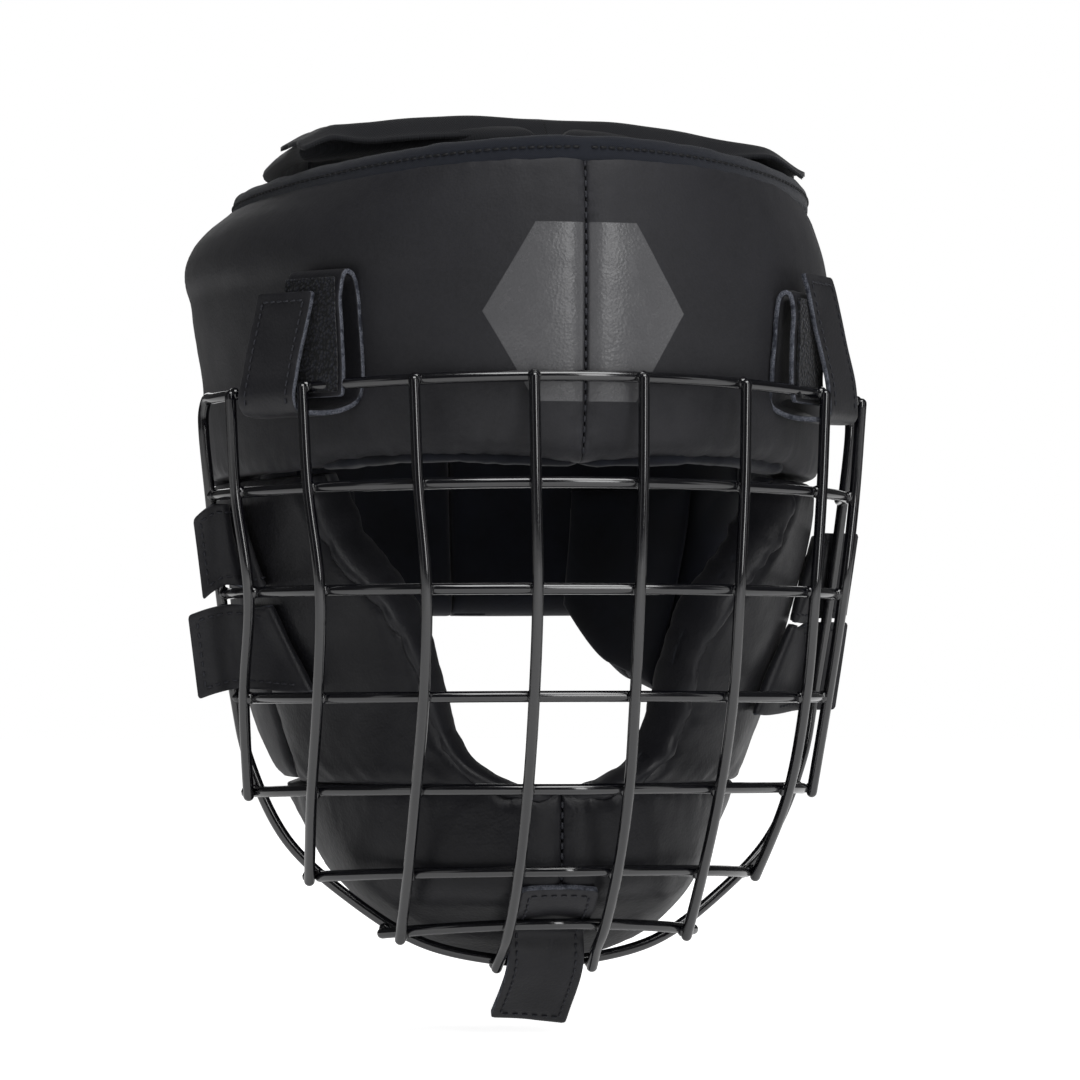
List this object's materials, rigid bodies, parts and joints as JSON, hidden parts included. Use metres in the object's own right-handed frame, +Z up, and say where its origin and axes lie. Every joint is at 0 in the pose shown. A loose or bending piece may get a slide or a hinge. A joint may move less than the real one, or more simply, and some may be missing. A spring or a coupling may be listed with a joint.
{
  "type": "boxing headgear",
  "caption": "Full-face leather boxing head guard with a coated wire face cage held on by leather straps.",
  "frame": {"origin": "middle of the wearer's head at eye height, where the head holds the guard", "axes": "the wearer looks along -Y, +X is on the wearer's left, +Z is up"},
  "size_m": [0.252, 0.2783, 0.3303],
  "materials": {
    "leather": "matte grained charcoal leather",
    "strap_leather": "matte stitched charcoal leather",
    "lining": "soft black lining leather",
    "textile": "navy-black woven textile",
    "coated_wire": "glossy black plastic-dipped steel wire"
  },
  "bodies": {
    "guard": {"forehead_pad_right": "leather", "side_band_right": "leather", "cheek_pad_right": "leather", "ear_pad_right": "leather", "chin_pad_right": "leather", "forehead_lining_right": "lining", "nape_lining_right": "lining", "top_binding_right": "textile", "crown_pad_right": "lining", "forehead_pad_left": "leather", "side_band_left": "leather", "cheek_pad_left": "leather", "ear_pad_left": "leather", "chin_pad_left": "leather", "forehead_lining_left": "lining", "nape_lining_left": "lining", "top_binding_left": "textile", "crown_pad_left": "lining", "perimeter_wire": "coated_wire", "cross_wire_1": "coated_wire", "cross_wire_2": "coated_wire", "cross_wire_3": "coated_wire", "cross_wire_4": "coated_wire", "cross_wire_5": "coated_wire", "cross_wire_6": "coated_wire", "upright_wire_right_1": "coated_wire", "upright_wire_right_2": "coated_wire", "upright_wire_right_3": "coated_wire", "upright_wire_right_4": "coated_wire", "upright_wire_left_1": "coated_wire", "upright_wire_left_2": "coated_wire", "upright_wire_left_3": "coated_wire", "upright_wire_left_4": "coated_wire", "temple_strap_base_right": "strap_leather", "temple_loop_tape_right": "textile", "temple_strap_base_left": "strap_leather", "temple_loop_tape_left": "textile", "side_strap_base_upper_right": "strap_leather", "side_strap_base_lower_right": "strap_leather", "side_strap_base_upper_left": "strap_leather", "side_strap_base_lower_left": "strap_leather", "chin_strap_base": "strap_leather", "crown_strap": "textile"},
    "temple_tab_right_body": {"temple_tab_right": "strap_leather"},
    "temple_tab_left_body": {"temple_tab_left": "strap_leather"},
    "side_tab_upper_right_body": {"side_tab_upper_right": "strap_leather"},
    "side_tab_lower_right_body": {"side_tab_lower_right": "strap_leather"},
    "side_tab_upper_left_body": {"side_tab_upper_left": "strap_leather"},
    "side_tab_lower_left_body": {"side_tab_lower_left": "strap_leather"},
    "chin_tab_body": {"chin_tab": "strap_leather"},
    "crown_tab_right_body": {"crown_tab_right": "textile"},
    "crown_tab_left_body": {"crown_tab_left": "textile"},
    "rear_right": {"rear_panel_right": "leather", "rear_binding_right": "textile", "rear_loop_tape": "textile"},
    "rear_left": {"rear_panel_left": "leather", "rear_binding_left": "textile", "rear_flap_base": "strap_leather"},
    "rear_flap_body": {"rear_flap": "strap_leather"}
  },
  "joints": [
    {"name": "temple_tab_right_open", "type": "hinge", "parent": "guard", "child": "temple_tab_right_body", "pos_m": [-0.10518, -0.09129, 0.04511], "axis": [0.6075, -0.7943, 0], "range_deg": [0, 95]},
    {"name": "temple_tab_left_open", "type": "hinge", "parent": "guard", "child": "temple_tab_left_body", "pos_m": [0.10518, -0.09129, 0.04511], "axis": [0.6075, 0.7943, 0], "range_deg": [0, 95]},
    {"name": "side_tab_upper_right_wrap", "type": "hinge", "parent": "guard", "child": "side_tab_upper_right_body", "pos_m": [-0.11569, -0.04532, -0.001], "axis": [-0.1363, -0.0668, 0.9884], "range_deg": [-100, 0]},
    {"name": "side_tab_lower_right_wrap", "type": "hinge", "parent": "guard", "child": "side_tab_lower_right_body", "pos_m": [-0.11064, -0.04284, -0.0376], "axis": [-0.1363, -0.0668, 0.9884], "range_deg": [-100, 0]},
    {"name": "side_tab_upper_left_wrap", "type": "hinge", "parent": "guard", "child": "side_tab_upper_left_body", "pos_m": [0.11431, -0.04464, -0.011], "axis": [0.1363, -0.0668, 0.9884], "range_deg": [-100, 0]},
    {"name": "side_tab_lower_left_wrap", "type": "hinge", "parent": "guard", "child": "side_tab_lower_left_body", "pos_m": [0.10969, -0.04238, -0.0445], "axis": [0.1363, -0.0668, 0.9884], "range_deg": [-100, 0]},
    {"name": "chin_tab_swing", "type": "hinge", "parent": "guard", "child": "chin_tab_body", "pos_m": [0, -0.0762, -0.1513], "axis": [1, 0, 0], "range_deg": [-100, 0]},
    {"name": "crown_tab_right_lift", "type": "hinge", "parent": "guard", "child": "crown_tab_right_body", "pos_m": [-0.0519, -0.045, 0.1544], "axis": [0, 1, 0], "range_deg": [0, 60]},
    {"name": "crown_tab_left_lift", "type": "hinge", "parent": "guard", "child": "crown_tab_left_body", "pos_m": [0.0519, -0.045, 0.1522], "axis": [0, -1, 0], "range_deg": [0, 60]},
    {"name": "rear_left_open", "type": "hinge", "parent": "guard", "child": "rear_left", "pos_m": [0.0873, 0.0852, 0.05], "axis": [0, 0, -1], "range_deg": [0, 22]},
    {"name": "rear_right_open", "type": "hinge", "parent": "guard", "child": "rear_right", "pos_m": [-0.0873, 0.0852, 0.05], "axis": [0, 0, 1], "range_deg": [0, 22]},
    {"name": "rear_flap_open", "type": "hinge", "parent": "rear_left", "child": "rear_flap_body", "pos_m": [0.0062, 0.1336, 0.045], "axis": [0, 0, -1], "range_deg": [0, 110]}
  ],
  "couplings": [
    {"joint": "rear_right_open", "follows": "rear_left_open", "ratio": 1}
  ]
}
